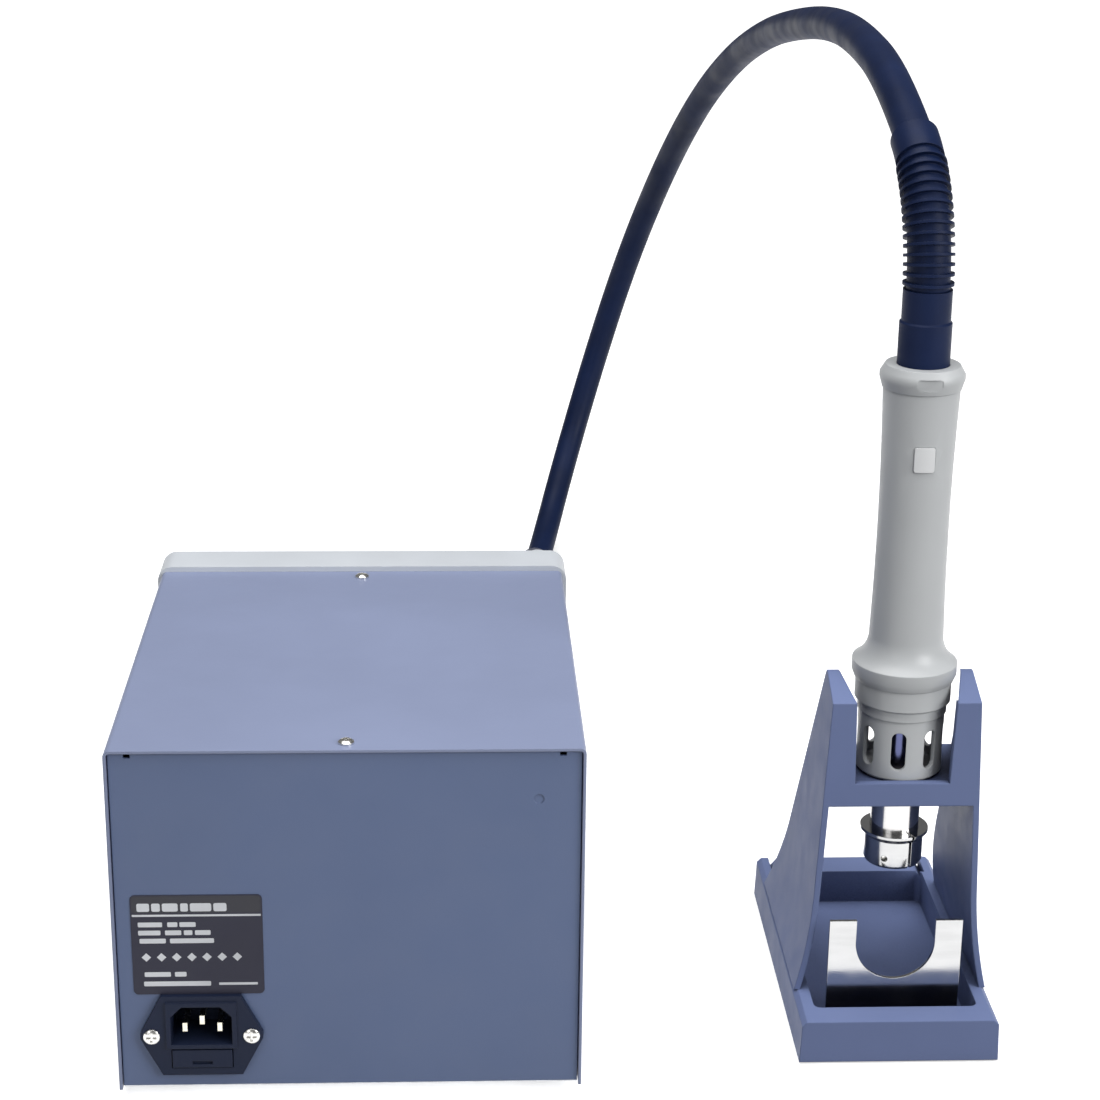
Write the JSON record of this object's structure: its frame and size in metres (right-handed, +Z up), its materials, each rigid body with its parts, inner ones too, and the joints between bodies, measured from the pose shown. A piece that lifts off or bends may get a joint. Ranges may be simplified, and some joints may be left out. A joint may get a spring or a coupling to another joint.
{
  "type": "hot air rework station",
  "caption": "Benchtop hot-air soldering and rework station: mains blower unit with display and keys, flexible air hose, vertical heated handpiece and a weighted bench stand.",
  "frame": {"origin": "on the bench, midway across the unit and the stand taken together and midway from the tip of the hose outlet to the heads of the inlet screws", "axes": "+Z up; +Y towards the rear panel of the unit and the open front of the stand, -Y towards the front panel; +X from the stand towards the unit"},
  "size_m": [0.3658, 0.7508, 0.4078],
  "materials": {
    "case_paint": "fine textured powder coat",
    "panel_paint": "fine textured powder coat",
    "zinc_sheet": "zinc plated",
    "pale_plastic": "fine grained",
    "fascia_plastic": "fine grained",
    "window_plastic": "tinted and polished",
    "key_rubber": "smooth silicone",
    "inlet_plastic": "satin",
    "label_film": "printed film",
    "nickel_screw": "nickel plated",
    "pin_brass": "nickel plated",
    "fuse_glass": "clear",
    "foot_rubber": "moulded",
    "lamination_steel": "varnished laminations",
    "coil_wrap": "wound tape",
    "board_laminate": "solder mask",
    "part_plastic": "moulded",
    "heatsink_alloy": "extruded",
    "blower_plastic": "moulded",
    "hose_rubber": "smooth, slightly glossy",
    "grip_plastic": "fine grained",
    "patch_plastic": "smooth",
    "polished_steel": "polished",
    "ceramic": "unglazed ceramic",
    "heater_wire": "heat tinted",
    "stand_plastic": "satin moulded"
  },
  "bodies": {
    "station": {"chassis_tray": "zinc_sheet", "unit_feet": "foot_rubber", "foot_screws": "nickel_screw", "rear_panel": "panel_paint", "top_cover": "case_paint", "cover_screws": "nickel_screw", "front_bracket": "zinc_sheet", "front_bezel": "pale_plastic", "front_panel": "fascia_plastic", "display_window": "window_plastic", "display_module": "part_plastic", "control_board": "board_laminate", "control_posts": "part_plastic", "key_switches": "part_plastic", "rocker_frame": "inlet_plastic", "hose_outlet": "pale_plastic", "outlet_nut": "pale_plastic", "rating_label": "label_film", "inlet_body": "inlet_plastic", "inlet_pins": "pin_brass", "inlet_screws": "nickel_screw", "transformer_core": "lamination_steel", "transformer_coil": "coil_wrap", "main_board": "board_laminate", "board_posts": "part_plastic", "board_screws": "nickel_screw", "heatsink": "heatsink_alloy", "capacitors": "part_plastic", "blower_front": "blower_plastic", "blower_rear": "blower_plastic", "blower_motor": "zinc_sheet", "air_duct": "foot_rubber", "air_hose": "hose_rubber", "stand_body": "stand_plastic", "nozzle_plate": "polished_steel", "plate_screws": "nickel_screw", "stand_pads": "foot_rubber"},
    "handpiece": {"vent_cage": "grip_plastic", "bell_ring": "grip_plastic", "grip_shell": "grip_plastic", "grip_patch": "patch_plastic", "rear_collar": "grip_plastic", "heater_tube": "polished_steel", "nozzle_clamp": "polished_steel", "clamp_screw": "nickel_screw", "heater_core": "ceramic", "heater_winding": "heater_wire", "air_tube": "zinc_sheet", "strain_sleeve": "hose_rubber", "strain_ribs": "hose_rubber"},
    "key_air_down": {"key_air_down": "key_rubber"},
    "key_air_up": {"key_air_up": "key_rubber"},
    "key_heat_down": {"key_heat_down": "key_rubber"},
    "key_heat_up": {"key_heat_up": "key_rubber"},
    "power_rocker": {"power_rocker": "inlet_plastic"},
    "fuse_drawer": {"fuse_drawer": "inlet_plastic", "fuses": "fuse_glass"},
    "impeller": {"impeller": "blower_plastic", "impeller_shaft": "zinc_sheet"}
  },
  "joints": [
    {"name": "handpiece_lift", "type": "slide", "parent": "station", "child": "handpiece", "axis": [0, 0, 1], "range_m": [0, 0.1], "deforming": ["air_hose"]},
    {"name": "key_air_down_press", "type": "slide", "parent": "station", "child": "key_air_down", "axis": [0, 1, 0], "range_m": [0, 0.001], "stiffness_N_per_m": 300, "springref_m": -0.001},
    {"name": "key_air_up_press", "type": "slide", "parent": "station", "child": "key_air_up", "axis": [0, 1, 0], "range_m": [0, 0.001], "stiffness_N_per_m": 300, "springref_m": -0.001},
    {"name": "key_heat_down_press", "type": "slide", "parent": "station", "child": "key_heat_down", "axis": [0, 1, 0], "range_m": [0, 0.001], "stiffness_N_per_m": 300, "springref_m": -0.001},
    {"name": "key_heat_up_press", "type": "slide", "parent": "station", "child": "key_heat_up", "axis": [0, 1, 0], "range_m": [0, 0.001], "stiffness_N_per_m": 300, "springref_m": -0.001},
    {"name": "power_rocker_tilt", "type": "hinge", "parent": "station", "child": "power_rocker", "pos_m": [0.15, -0.097, 0.03], "axis": [1, 0, 0], "range_deg": [0, 14]},
    {"name": "fuse_drawer_slide", "type": "slide", "parent": "station", "child": "fuse_drawer", "axis": [0, 1, 0], "range_m": [0, 0.018]},
    {"name": "impeller_spin", "type": "hinge", "parent": "station", "child": "impeller", "pos_m": [0.04, -0.015, 0.0562], "axis": [0, 1, 0], "continuous": true}
  ]
}
